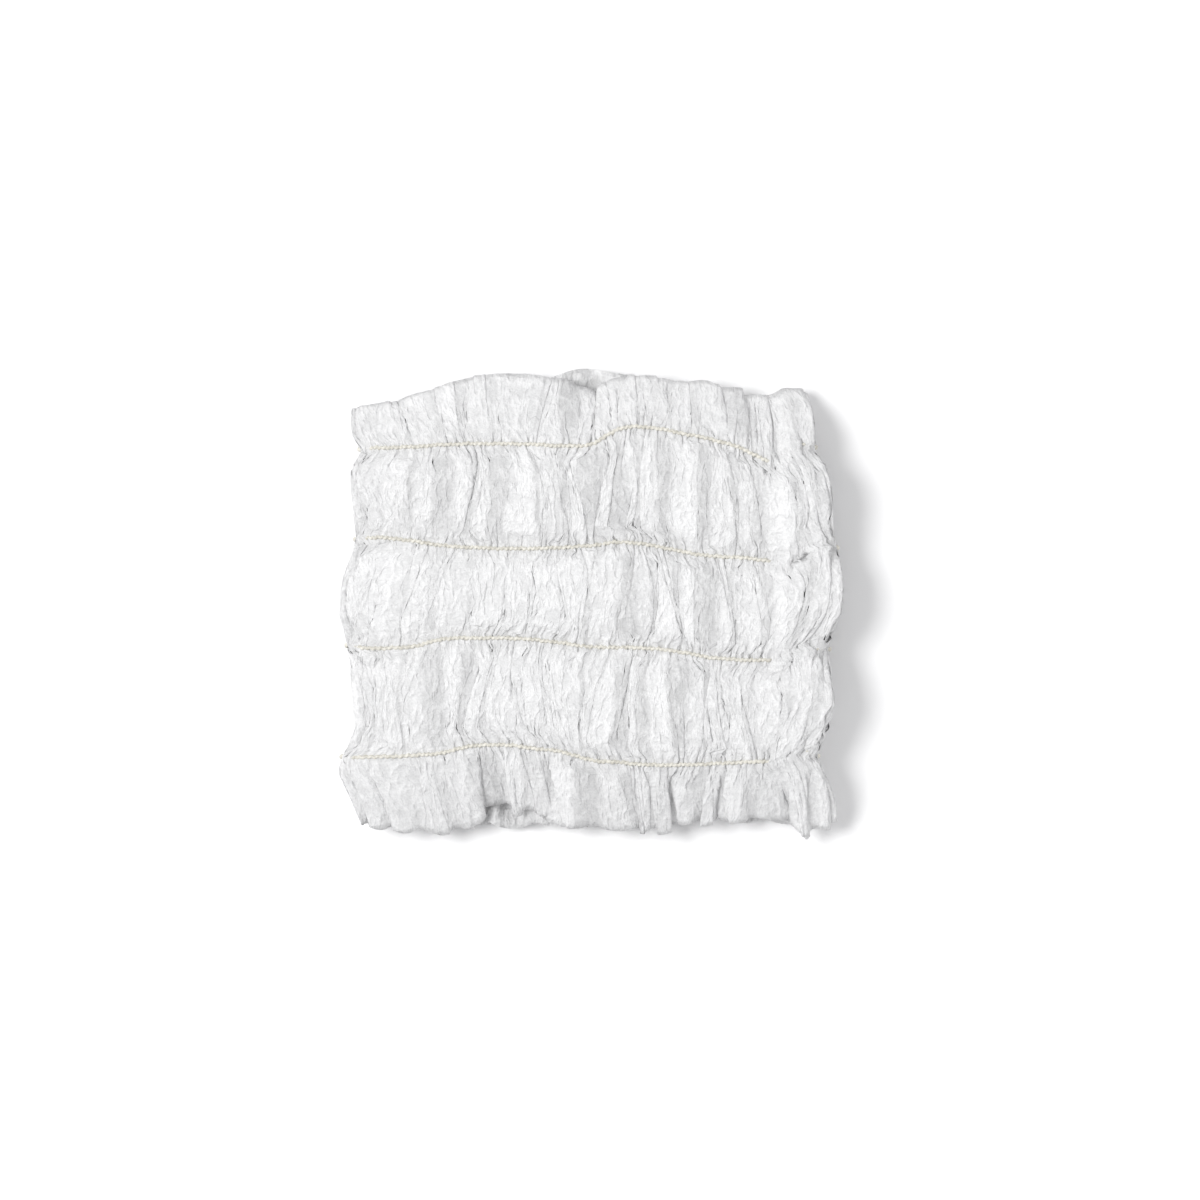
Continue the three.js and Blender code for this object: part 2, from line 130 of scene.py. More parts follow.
# How the gathers of the front lie, zone by zone from the top down, and fold by fold from the left. The
# columns are where a fold's flat top starts and ends across the front at mid-height, how far those two
# edges stand out, and how far its foot lies to the right of its head
FOLDS = np.array([
    [  # top frill
        (-47.5, -43.0, 0.1, 0.2, 0.0), (-42.5, -37.5, 0.1, 0.4, 0.0), (-37.0, -31.2, 0.1, 0.2, 0.0),
        (-30.5, -26.4, 0.0, 0.9, 0.5), (-25.0, -20.5, 0.1, 0.3, 0.0), (-20.0, -14.8, 0.1, 0.2, 0.0),
        (-14.3, -7.0, 0.2, 0.9, 0.0), (-3.0, 0.6, 0.4, 0.5, -1.5), (1.0, 5.2, -0.1, 0.3, -3.0),
        (5.6, 10.0, 0.0, 0.3, -1.0), (10.4, 15.0, 0.0, 0.3, 0.0), (15.5, 20.4, 0.1, 0.7, 1.0),
        (21.6, 27.0, 0.3, 0.2, 1.0), (27.5, 30.5, -0.8, -0.8, 3.0), (31.5, 37.2, 0.7, 0.5, 2.0),
        (38.0, 43.0, 0.4, 0.2, 0.0),
    ],
    [  # upper puff
        (-47.5, -42.9, 0.1, 0.0, 1.5), (-42.4, -36.9, 0.1, 0.2, 3.0), (-35.8, -31.0, 0.1, 0.6, 3.5),
        (-27.5, -24.2, 0.4, 0.3, 0.0), (-23.8, -20.5, 0.2, 0.5, 0.0), (-18.0, -10.5, 0.3, 1.0, 0.0),
        (-10.0, -6.0, 0.3, -0.1, 0.0), (-5.4, -1.0, 0.1, 0.9, 0.0), (1.8, 5.2, 0.1, 0.5, 0.0),
        (7.7, 10.0, 0.2, 0.2, 1.5), (10.2, 12.7, 0.2, 0.9, 0.0), (15.3, 21.6, 0.4, 1.0, 0.0),
        (23.9, 28.6, 0.3, 0.8, 0.0), (29.2, 32.8, 0.2, 0.2, 1.5), (34.4, 40.0, 0.2, 0.8, 1.0),
        (41.0, 45.0, 0.1, 0.4, -2.0),
    ],
    [  # middle puff
        (-47.5, -43.5, 0.3, 0.4, 0.0), (-43.3, -38.5, 0.4, 0.4, 0.0), (-38.3, -33.2, 0.4, 0.2, 0.0),
        (-32.0, -25.0, 0.3, 0.2, 0.0), (-24.3, -18.5, 0.5, 0.5, 0.0), (-18.3, -12.0, 0.4, 0.4, 0.0),
        (-11.8, -6.5, 0.4, 0.6, 0.0), (-6.3, 0.0, 0.5, 0.5, 0.0), (0.2, 6.9, 0.4, 0.4, 0.0),
        (10.2, 12.2, -0.4, 0.2, 0.0), (12.4, 17.0, 0.4, 1.1, 0.0), (18.5, 21.3, 1.0, 0.7, 0.0),
        (25.3, 29.3, 0.3, 0.3, 0.0), (29.6, 34.6, 0.3, 0.7, 0.0), (36.0, 42.2, 0.4, 0.7, 0.0),
        (43.4, 46.5, 0.2, 0.2, 0.0),
    ],
    [  # lower puff
        (-47.5, -45.0, 0.2, 0.0, 0.0), (-44.5, -39.5, 0.1, 0.1, -1.0), (-39.0, -33.5, 0.2, 0.1, 0.0),
        (-30.2, -26.3, 0.4, 0.5, 0.0), (-24.0, -20.8, 0.7, 0.4, -5.0), (-20.5, -17.7, 0.5, 0.5, -4.0),
        (-17.0, -11.6, 0.5, 0.2, -4.5), (-11.4, -4.2, 0.5, 0.2, -1.0), (-3.9, 4.7, 0.0, 0.6, 0.0),
        (8.6, 10.1, 0.5, 0.7, 0.0), (10.4, 16.2, 0.4, 0.9, 0.5), (20.0, 23.0, 0.1, 0.1, 0.0),
        (23.3, 26.6, 0.1, 0.0, 0.0), (26.9, 31.2, 0.2, 0.5, 0.0), (32.6, 36.8, 0.2, 0.2, 2.0),
        (37.2, 42.0, 0.5, 0.5, 1.0),
    ],
    [  # bottom frill
        (-47.5, -43.0, 0.0, 0.0, 0.0), (-42.5, -37.0, 0.1, 0.1, -1.0), (-36.0, -31.2, 0.0, 0.2, -2.0),
        (-30.6, -24.6, 0.5, 0.6, -1.5), (-23.0, -20.5, -5.0, -5.0, -1.0), (-19.3, -10.2, 0.9, 0.7, 1.0),
        (-9.4, -6.5, -0.2, -0.2, 0.0), (-6.0, -0.8, 0.6, 1.0, -1.0), (2.2, 5.9, 0.3, 0.5, 0.0),
        (9.2, 13.5, 0.3, 0.8, 1.0), (14.0, 17.0, -0.3, -0.3, 0.0), (17.3, 20.0, 0.3, 0.3, 1.0),
        (22.5, 28.0, 0.1, 0.4, 0.5), (28.3, 33.8, 0.4, 0.7, 0.0), (35.5, 37.5, -0.5, -0.5, 0.0),
        (38.0, 45.0, 0.7, 0.3, 0.0),
    ],
])
FOLD_LEFT, FOLD_RIGHT, LEFT_RISE, RIGHT_RISE, SLANT = np.moveaxis(FOLDS, -1, 0)
FRONT_GATHERS = FOLDS.shape[1]
# How many times its own width of cloth each gather of the front takes up, and each one on the folded
# sides and the back
FULLNESS = np.array([1.35, 1.35, 1.4, 1.65, 2.0, 1.6, 1.7, 1.8, 1.8, 2.0, 1.9, 1.9, 1.9, 1.9, 1.8, 1.5])
HIDDEN_FULLNESS = np.array([1.5, 1.4, 1.4, *13 * [2.0], 1.4, 1.4, 1.5])
HIDDEN_GATHERS = len(HIDDEN_FULLNESS)

# Height along the axis of the front's edges and elastic lines, at places across the front
COURSE_AT = np.array([
    -48, -42, -36, -30, -24, -21.5, -18, -12, -6, 0, 6, 12, 18, 24, 30, 36, 39.5, 43, 48.0,
])
COURSE = np.array([
    # top edge, top elastic, upper elastic, lower elastic, bottom elastic, bottom edge
    [39.8, 31.8, 13.4, -8.2, -31.0, -45.2],
    [41.0, 32.0, 13.7, -8.8, -30.9, -45.8],
    [41.8, 32.2, 13.0, -8.4, -30.6, -46.1],
    [44.6, 32.6, 12.1, -6.9, -30.0, -45.0],
    [46.4, 32.8, 11.7, -6.7, -28.6, -43.0],
    [46.4, 32.8, 11.6, -6.7, -28.5, -40.4],
    [46.6, 32.8, 11.5, -6.7, -28.4, -43.2],
    [46.6, 32.7, 11.5, -7.0, -29.1, -42.4],
    [46.9, 32.4, 11.7, -7.7, -29.8, -44.0],
    [43.8, 32.7, 12.1, -8.5, -31.5, -46.0],
    [46.6, 35.9, 12.8, -8.6, -32.0, -46.4],
    [46.0, 36.1, 12.2, -8.8, -32.5, -46.5],
    [45.8, 35.0, 11.0, -9.5, -32.5, -45.0],
    [45.2, 33.8, 10.0, -10.6, -32.3, -44.2],
    [43.4, 32.1, 9.7, -11.1, -32.0, -43.6],
    [43.0, 29.3, 9.0, -11.2, -31.7, -44.0],
    [44.0, 28.2, 8.4, -11.0, -31.2, -46.0],
    [44.6, 32.2, 11.4, -9.4, -29.4, -46.2],
    [44.6, 32.2, 11.8, -9.0, -31.0, -45.4],
])
TOP_EDGE, BOTTOM_EDGE = 0, 5
# The same for the back's two edges
BACK_EDGE_AT = np.array([-50, -38, -26, -12, 2, 16, 24, 32, 40, 50.0])
BACK_EDGES = {
    TOP_EDGE: np.array([39.6, 41.4, 45.0, 45.6, 47.6, 44.8, 44.4, 42.0, 43.0, 42.0]),
    BOTTOM_EDGE: np.array([-44.4, -45.0, -45.2, -44.6, -45.2, -45.4, -44.2, -43.8, -44.8, -44.8]),
}
# How far out the folded sides reach, from the top down
OUTLINE = np.array([
    # height along the axis, left side, right side
    (45.0, 48.5, 44.1),
    (40.0, 49.2, 45.4),
    (35.0, 49.0, 45.8),
    (31.5, 46.9, 45.7),
    (28.0, 48.8, 48.0),
    (24.0, 49.0, 49.0),
    (19.0, 48.5, 49.4),
    (14.0, 47.9, 49.6),
    (10.5, 48.6, 50.4),
    (4.5, 50.8, 51.4),
    (-1.0, 51.4, 51.1),
    (-6.0, 50.1, 49.6),
    (-8.5, 49.7, 48.4),
    (-13.0, 49.0, 49.0),
    (-20.0, 48.6, 49.6),
    (-25.0, 48.0, 48.6),
    (-28.5, 49.4, 46.9),
    (-31.0, 50.8, 46.2),
    (-34.0, 51.6, 47.6),
    (-37.0, 50.2, 48.9),
    (-41.0, 48.6, 50.3),
    (-45.0, 47.2, 50.6),
])
SEAM_AT = 39.8  # across the front
SEAM_HALF = 2.6

BEND = (FRONT_LEVEL - BACK_LEVEL) / 2
MID_LEVEL = (FRONT_LEVEL + BACK_LEVEL) / 2
FLAT_HALF = LINE_HALF - BEND
ARC = np.pi * BEND
LOOP = 4 * FLAT_HALF + 2 * ARC  # way round at an elastic line
GATHERS = FRONT_GATHERS + HIDDEN_GATHERS
chance = np.random.default_rng(11)


def ramp(t):
    """The smooth ramp 3t^2 - 2t^3, from 0 at t = 0 to 1 at t = 1."""
    t = np.clip(t, 0, 1)
    return t * t * (3 - 2 * t)


def smooth_course(x, at, heights):
    """Height at x of the cubic Hermite curve through (at, heights), whose slope at each place is the one
    between its neighbours."""
    slopes = np.gradient(heights, at)
    i = np.clip(np.searchsorted(at, x) - 1, 0, len(at) - 2)
    span = at[i + 1] - at[i]
    t = np.clip((x - at[i]) / span, 0, 1)
    rise = ramp(t)
    bow = (t - 2 * t**2 + t**3) * slopes[i] - (t**2 - t**3) * slopes[i + 1]
    return heights[i] * (1 - rise) + heights[i + 1] * rise + span * bow


def loop_point(way, out):
    """Across and up of a point of the flattened loop, two straights joined by half circles. way is the
    distance round it at an elastic line, to the right from the middle of the front, and out the distance
    outwards."""
    way = (way + FLAT_HALF) % LOOP - FLAT_HALF
    right_arc = np.clip((way - FLAT_HALF) / BEND, 0, np.pi)
    back = np.clip(way - FLAT_HALF - ARC, 0, 2 * FLAT_HALF)
    left_arc = np.clip((way - 3 * FLAT_HALF - ARC) / BEND, 0, np.pi)
    turn = right_arc + left_arc
    across = np.minimum(way, FLAT_HALF) - back + (BEND + out) * np.sin(turn)
    up = MID_LEVEL + (BEND + out) * np.cos(turn)
    return across, up


BLEND_RATE, BLEND_START = 1.4, 0.2  # of the back's course into the front's, up the folded sides


def line_height(line, way):
    """Height along the axis of an edge or elastic line: the front's course, blended into the back's over
    the folded sides."""
    across, up = loop_point(way, np.zeros_like(way))
    front = smooth_course(across, COURSE_AT, COURSE[:, line])
    if line in BACK_EDGES:
        back = smooth_course(across, BACK_EDGE_AT, BACK_EDGES[line])
    else:
        back = COURSE[0, line] + (COURSE[-1, line] - COURSE[0, line]) * (across / (2 * LINE_HALF) + 0.5)
    level = (up - BACK_LEVEL) / (FRONT_LEVEL - BACK_LEVEL)
    return back + (front - back) * ramp(level * BLEND_RATE - BLEND_START)


def wander(values, lengths, seed):
    """A sum of sines of values with these wavelengths and seeded phases, scaled to reach at most 1."""
    phases = np.random.default_rng(seed).uniform(0, 2 * np.pi, len(lengths))
    waves = [np.sin(2 * np.pi * values / length + phase) for length, phase in zip(lengths, phases)]
    return sum(waves) / len(lengths)


FIRST_INSET, LAST_INSET = 0.5, 0.8  # from the outermost folds of the front to the hollows beside them
HOLLOW_JITTER = 0.012  # of the hidden hollows, as a share of their stretch


def hollow_ways():
    """Way round of the hollows before and after each gather, by zone. They lie midway between the front's
    folds, and the hidden ones are spread evenly with a little jitter."""
    first, last = FOLD_LEFT[:, :1] - FIRST_INSET, FOLD_RIGHT[:, -1:] + LAST_INSET
    front = np.concatenate([first, (FOLD_LEFT[:, 1:] + FOLD_RIGHT[:, :-1]) / 2, last], axis=1)
    shares = np.linspace(0, 1, HIDDEN_GATHERS + 1)[1:]
    shares[:-1] += chance.uniform(-HOLLOW_JITTER, HOLLOW_JITTER, HIDDEN_GATHERS - 1)
    return np.concatenate([front, last + (first + LOOP - last) * shares], axis=1)


# The grid of the strip: columns go round the loop, closer together on the front, and rows go down from
# the top edge, closer together at the elastic lines
FRONT_COLUMNS = 560
HIDDEN_COLUMNS = 240
COLUMNS = FRONT_COLUMNS + HIDDEN_COLUMNS
hollows = hollow_ways()
fullness = np.append(FULLNESS, HIDDEN_FULLNESS)
cut_at_hollow = np.append(0, np.cumsum(fullness * np.diff(hollows.mean(axis=0))))
front_length, flat_length = cut_at_hollow[[len(FULLNESS), -1]]
flat_round = np.append(np.linspace(0, front_length, FRONT_COLUMNS, endpoint=False),
                       np.linspace(front_length, flat_length, HIDDEN_COLUMNS, endpoint=False))
gather = np.interp(flat_round, cut_at_hollow, np.arange(GATHERS + 1))
PUFF_STEPS = np.array([0, 0.04, 0.1, 0.18, 0.28, 0.39, 0.5, 0.61, 0.72, 0.82, 0.9, 0.96])
FRILL_STEPS = np.array([0, 0.06, 0.14, 0.24, 0.36, 0.5, 0.64, 0.78, 0.9, 1.0])
TOP_FRILL, MIDDLE_PUFF, BOTTOM_FRILL = 0, 2, 4
row_zone = np.repeat(np.arange(5), [len(FRILL_STEPS) - 1, *3 * [len(PUFF_STEPS)], len(FRILL_STEPS)])
row_share = np.concatenate([1 - FRILL_STEPS[:0:-1], np.tile(PUFF_STEPS, 3), FRILL_STEPS])
stitched = (row_share == 0) & (row_zone > TOP_FRILL)
is_frill = np.isin(row_zone, [TOP_FRILL, BOTTOM_FRILL])[:, None]
to_lines = [1 - row_share, row_share, np.minimum(row_share, 1 - row_share)]
in_frills = [row_zone == TOP_FRILL, row_zone == BOTTOM_FRILL]
from_line = np.select(in_frills, to_lines[:2], to_lines[2])[:, None]
ROWS = len(row_zone)


def rounded(values):
    """Values round the loop, each averaged with its neighbours so that folds are rounded."""
    return (np.roll(values, 1, axis=-1) + 2 * values + np.roll(values, -1, axis=-1)) / 4


HIDDEN_INSET = 0.12  # from a hidden hollow to its fold, as a share of the gather
HIDDEN_RISE = 0.6  # most that a hidden fold's edge stands out
LEAST_SPARE = 0.3  # cloth that a gather has over its own width
TUCK_OF_SPARE = 0.22  # share of that cloth tucked under each edge
TUCK_OF_TOP = 0.4  # most that tucks under, as a share of the flat top
LEAST_SQUARE = 0.04  # square of the least depth of a hollow
MOST_DEPTH = 1.6  # of a hollow, without its gap
GAP_DEPTH = 0.45  # added for each mm of the gap between folds
MOST_GAP = 3.0  # that adds to the depth
# Layer counts of the cloth set its whiteness; in the hollows they also hold painted shade, darker the wider
# the gap between folds
SHUT_LAYERS = 2.6  # of cloth behind a hollow without a gap
GAP_LAYERS_AND_SHADE = 1.2  # fewer for each mm of the gap, which paints shade into the open hollows
FEWEST_LAYERS, MOST_LAYERS = 0.7, 2.3
TOP_LAYERS = 2  # of cloth in a fold's flat top


def fold_profiles():
    """Way round, height out and layer count of the cloth of every column at mid-height of each zone.
    The count rises the further a fold's edge stands out, and in the hollows it falls with the width of the
    gap, which paints shade there.
    A gather goes along the hollow, back under its own edge, over its flat top and back under the other
    edge. The cloth it has over its own width sets how far it tucks under and how deep the hollow is."""
    lengths = np.diff(cut_at_hollow)
    pitches = np.diff(hollows, axis=1)
    inset = HIDDEN_INSET * pitches[:, FRONT_GATHERS:]
    left = np.append(FOLD_LEFT, hollows[:, FRONT_GATHERS:-1] + inset, axis=1)
    right = np.append(FOLD_RIGHT, hollows[:, FRONT_GATHERS + 1:] - inset, axis=1)
    hidden_rise = chance.uniform(0.0, HIDDEN_RISE, (2, len(FOLDS), HIDDEN_GATHERS))
    left_rise = np.append(LEFT_RISE, hidden_rise[0], axis=1)
    right_rise = np.append(RIGHT_RISE, hidden_rise[1], axis=1)
    spare = np.maximum(lengths - pitches, LEAST_SPARE)
    tuck = np.minimum(TUCK_OF_SPARE * spare, TUCK_OF_TOP * (right - left))
    wall = spare / 2 - tuck
    gap = pitches - (right - left)
    depth = np.minimum(np.sqrt(np.maximum(wall**2 - tuck**2, LEAST_SQUARE)), MOST_DEPTH)
    depth = depth + GAP_DEPTH * np.minimum(gap, MOST_GAP)
    # painted shade: the wider a hollow's gap, the lower its layer count and the darker its cloth
    hollow_layers_and_shade = np.clip(SHUT_LAYERS - GAP_LAYERS_AND_SHADE * gap, FEWEST_LAYERS, MOST_LAYERS)
    around = (np.append(depth[:, -1:], depth, axis=1) + np.append(depth, depth[:, :1], axis=1)) / 2
    which = np.floor(gather).astype(int)
    ways, outs, layers_and_shade = np.empty((3, len(FOLDS), COLUMNS))
    for zone in range(len(FOLDS)):
        for i in range(GATHERS):
            start, end, under = left[zone, i], right[zone, i], tuck[zone, i]
            near_rise, far_rise, low = left_rise[zone, i], right_rise[zone, i], -depth[zone, i]
            # the hollow's layer count, which holds its painted shade
            thin = hollow_layers_and_shade[zone, i]
            way = [hollows[zone, i], start + under, start, end, end - under, hollows[zone, i + 1]]
            out = [-around[zone, i], low, near_rise, far_rise, low, -around[zone, i + 1]]
            lapped = [thin, thin, TOP_LAYERS + near_rise, TOP_LAYERS + far_rise, thin, thin]
            along = np.append(0, np.cumsum(np.hypot(np.diff(way), np.diff(out))))
            here = which == i
            share = (gather[here] - i) * along[-1]
            ways[zone, here] = np.interp(share, along, way)
            outs[zone, here] = np.interp(share, along, out)
            layers_and_shade[zone, here] = np.interp(share, along, lapped)
    return ways, outs, layers_and_shade


PLEATS = 3.5  # fine pleats for each gather, along the elastic lines
PLEAT_DRIFT = 2.2  # radians, of the pleats out of their even spacing
PLEAT_REACH = 2.6  # from an elastic line
FOLD_RUN_OUT = 4.6  # from an elastic line to where the folds lie flat
LINE_LAYERS = 1.9  # of cloth in the pleats along the lines
EDGE_STEP = 0.8  # of a fold's free edge up or down against its neighbours
STEP_SHARES = [0.15, 0.85]  # where a fold's edge starts and ends, between its hollows
EDGE_BOW = 0.6  # of a fold's free edge outwards between its hollows
BOW_LEVEL = 0.6  # share of the bow that is left in place
FRILL_REACH = 0.6  # share of a frill over which it swells
FRILL_CURVE, PUFF_CURVE = 0.7, 0.6  # powers that make the swelling fuller
MEAN_PUFF = 2.0  # out of the line of the elastics
SLACK = 1.05  # height of the cloth against the way over its puffs
SEAM_OUT = 2.4  # of the lapped seam, where it crosses the lines
SEAM_FADE = 1.5


def gathered_strip():
    """Points of the gathered strip before it settles, height of each point down the flat cut, its share of
    the swelling between the lines, and its layer count of cloth, which also holds painted shade in the
    hollows.
    The flat folds of each zone run out into fine pleats that stand along the elastic lines and fade within
    a few mm of them."""
    fold_way, fold_out, fold_layers_and_shade = fold_profiles()
    even_way = np.array([np.interp(gather, np.arange(GATHERS + 1), way) for way in hollows])
    line_way = np.concatenate([even_way[:1], (even_way[1:] + even_way[:-1]) / 2, even_way[-1:]])
    line_y = np.array([line_height(line, way) for line, way in enumerate(line_way)])
    share = row_share[:, None]
    y = line_y[row_zone] * (1 - share) + line_y[row_zone + 1] * share
    distance = from_line * np.abs(line_y[row_zone] - line_y[row_zone + 1])
    step_at = np.arange(GATHERS)[:, None] + STEP_SHARES
    steps = np.repeat(chance.uniform(-EDGE_STEP, EDGE_STEP, (2, GATHERS)), 2, axis=1)
    edge_step = np.array([np.interp(gather, step_at.ravel(), step) for step in steps])
    edge_step = edge_step + EDGE_BOW * (np.sin(np.pi * (gather % 1)) - BOW_LEVEL) * [[1], [-1]]
    y = y + np.where(is_frill, from_line**2 * edge_step[(row_zone == BOTTOM_FRILL).astype(int)], 0)
    frill_swell = ramp(from_line / FRILL_REACH) ** FRILL_CURVE
    swell = np.where(is_frill, frill_swell, np.sin(np.pi * share) ** PUFF_CURVE)
    nearest = row_zone + ((row_zone == TOP_FRILL) | ((row_zone != BOTTOM_FRILL) & (row_share >= 0.5)))
    laid_flat = ramp(distance / FOLD_RUN_OUT)
    slant = np.array([np.interp(gather, np.arange(FRONT_GATHERS) + 0.5, slants) for slants in SLANT])
    slant = slant * (gather < FRONT_GATHERS)
    slanted = fold_way[row_zone] + slant[row_zone] * (share - 0.5)
    way = line_way[nearest] + (slanted - line_way[nearest]) * laid_flat
    out = fold_out[row_zone] * laid_flat * np.where(is_frill, 0.5 + from_line, 1.0)
    drop = np.hypot(np.diff(y, axis=0, prepend=y[:1]), np.diff(MEAN_PUFF * swell, axis=0, prepend=0))
    flat_height = np.cumsum(drop, axis=0) * SLACK

    pleat = 2 * np.pi * PLEATS * gather + PLEAT_DRIFT * wander(gather, [2.3, 1.7, 5.1], seed=3)
    on_seam = 1 - ramp((np.abs(even_way[0] - SEAM_AT) - SEAM_HALF) / SEAM_FADE)
    which = np.floor(gather).astype(int)
    # A wave that takes up this fullness of cloth is so high against its width
    steep = np.sqrt(2 * (fullness[which] ** 2 - 1)) / np.pi
    width = np.gradient(even_way, gather, axis=1)[row_zone]
    pleat_rise = steep * width / (2 * PLEATS)
    out = out + pleat_rise * (1 - on_seam) * np.exp(-((distance / PLEAT_REACH) ** 2)) * np.cos(pleat)
    out = out + SEAM_OUT * on_seam * (1 - swell)
    across, up = (rounded(places) for places in loop_point(way, out))
    # layer count, with the painted shade of the hollows, fading to that of the pleats along the lines
    layers_and_shade = LINE_LAYERS + (fold_layers_and_shade[row_zone] - LINE_LAYERS) * laid_flat
    return np.stack([across, y, up], axis=-1), flat_height, swell, layers_and_shade


def flat_loop(flat_height):
    """The cut as a plain open cylinder of its full length round, which gives each stretch of cloth its
    true length."""
    turn = 2 * np.pi * flat_round / flat_length
    radius = flat_length / (2 * np.pi)
    ring = np.broadcast_to(radius * np.stack([np.sin(turn), np.cos(turn)]), (ROWS, 2, COLUMNS))
    return np.stack([ring[:, 0], -flat_height, ring[:, 1]], axis=-1)


SETTLE_UNITS = 0.05  # units of the simulation for each mm
SETTLE_FRAMES = 8
PLATE_HALF = 150
FLOOR_LEVEL = 0.1
LID_HIGH = 24.0
LID_LOW = 17.6
LID_HASTE = 1.2  # the lid is down before the last frame
CLOTH_APART = 0.1  # least distance of the cloth from itself


def pressing_plate(name, height, facing):
    """A large level plate that cloth can't pass, at a height in mm, facing up (1) or down (-1)."""
    side = PLATE_HALF * SETTLE_UNITS
    near, far = -side * facing, side * facing
    corners = [(-side, near, 0), (side, near, 0), (side, far, 0), (-side, far, 0)]
    mesh = bpy.data.meshes.new(name)
    mesh.from_pydata(corners, [], [(0, 1, 2, 3)])
    plate = bpy.data.objects.new(name, mesh)
    plate.location.z = height * SETTLE_UNITS
    bpy.context.scene.collection.objects.link(plate)
    plate.modifiers.new("collision", "COLLISION")
    plate.collision.thickness_outer = 0.01
    plate.collision.cloth_friction = 5
    return plate


def settled(points, flat, faces, pinned):
    """The points once the cloth has taken up its full flat length between the pinned elastic lines,
    pressed lightly between the table and a lid as it was when packed."""
    scene = bpy.context.scene
    mesh = bpy.data.meshes.new("strip")
    mesh.from_pydata(points.reshape(-1, 3) * SETTLE_UNITS, [], faces)
    strip = bpy.data.objects.new("strip", mesh)
    scene.collection.objects.link(strip)
    strip.shape_key_add(name="gathered")
    flat_key = strip.shape_key_add(name="flat")
    flat_key.data.foreach_set("co", (flat * SETTLE_UNITS).ravel())
    flat_key.value = 0
    group = strip.vertex_groups.new(name="stitched")
    group.add(pinned.ravel().tolist(), 1.0, "REPLACE")
    strip.modifiers.new("rest_shape", "UV_WARP")  # Cloth reads a rest shape only behind another modifier
    cloth = strip.modifiers.new("settle", "CLOTH")
    cloth.settings.quality = 6
    cloth.settings.mass = 0.1
    cloth.settings.tension_stiffness = 30
    cloth.settings.compression_stiffness = 30
    cloth.settings.shear_stiffness = 5
    cloth.settings.bending_stiffness = 0.15
    cloth.settings.air_damping = 5
    cloth.settings.vertex_group_mass = group.name
    cloth.settings.rest_shape_key = flat_key
    cloth.settings.effector_weights.gravity = 0
    cloth.collision_settings.collision_quality = 2
    cloth.collision_settings.distance_min = 0.01
    cloth.collision_settings.use_self_collision = True
    cloth.collision_settings.self_distance_min = CLOTH_APART * SETTLE_UNITS
    cloth.point_cache.frame_end = SETTLE_FRAMES
    floor = pressing_plate("floor", FLOOR_LEVEL, facing=1)
    lid = pressing_plate("lid", LID_HIGH, facing=-1)
    for step in range(1, SETTLE_FRAMES + 1):
        lowered = ramp(step / SETTLE_FRAMES * LID_HASTE)
        lid.location.z = SETTLE_UNITS * (LID_HIGH + (LID_LOW - LID_HIGH) * lowered)
        scene.frame_set(step)
    result = strip.evaluated_get(bpy.context.evaluated_depsgraph_get()).to_mesh()
    places = np.empty(points.size, np.float32)
    result.vertices.foreach_get("co", places)
    for helper in (strip, floor, lid):
        bpy.data.objects.remove(helper)
    scene.frame_set(1)
    return places.reshape(points.shape).astype(float) / SETTLE_UNITS


index = np.arange(ROWS * COLUMNS).reshape(ROWS, COLUMNS)
beside = np.roll(index, -1, axis=1)
band_faces = np.stack([index[:-1], index[1:], beside[1:], beside[:-1]], axis=-1).reshape(-1, 4)
band_points, flat_height, swell, layers_and_shade = gathered_strip()
flat_points = flat_loop(flat_height)
band_points = settled(band_points, flat_points, band_faces, index[stitched])


SIDE_FROM, SIDE_OVER = 34, 11  # across, where the shift to the outline starts, and over what way


def to_outline(points, beyond):
    """Points whose outermost ones on each side, row by row, are carried to the outline or some way beyond
    it. The shift fades out towards the middle."""
    x, y = points[..., 0], points[..., 1]
    reach = np.where(x > 0, x.max(axis=-1, keepdims=True), -x.min(axis=-1, keepdims=True))
    heights, left, right = OUTLINE[::-1].T
    outline = np.where(x > 0, np.interp(y, heights, right), np.interp(y, heights, left)) + beyond
    shifted = np.abs(x) + (outline - reach) * ramp((np.abs(x) - SIDE_FROM) / SIDE_OVER)
    return np.stack([np.copysign(shifted, x), y, points[..., 2]], axis=-1)


PRESSED = 0.082  # share of its relief that the front keeps after lying packed
LINE_PRESSED = 0.44  # the same along the elastic lines
FRILL_PRESSED = 0.13  # the same in the bottom frill
LINE_REACH = 0.2  # share of a band or frill that counts as along a line
FRONT_FROM = 5  # lowest level of the front, and the way over which it takes over from the back
FRONT_PUFF = 1.6  # of the bands between the elastics
FRILL_DROOP = 8.5  # of the frills' free edges
DROOP_CURVE = 1.5  # power by which a frill droops
CORNER_DROOP = 2.0  # of the top frill, further to the right
CORNER_FROM, CORNER_OVER = 22, 20  # across, where that starts, and over what way it grows
SEAM_SPREAD = 1.8
SEAM_RISE = 0.5
SEAM_PRESSED = 0.3  # share of its relief that the seam loses
FLAP_FROM, FLAP_TO = -52.0, -4.0  # across the front, where the middle puff is one smooth flap
FLAP_FADE_IN, FLAP_FADE_OUT = 4, 8
FLAP_PRESSED = 0.85  # share of its relief that the flap loses


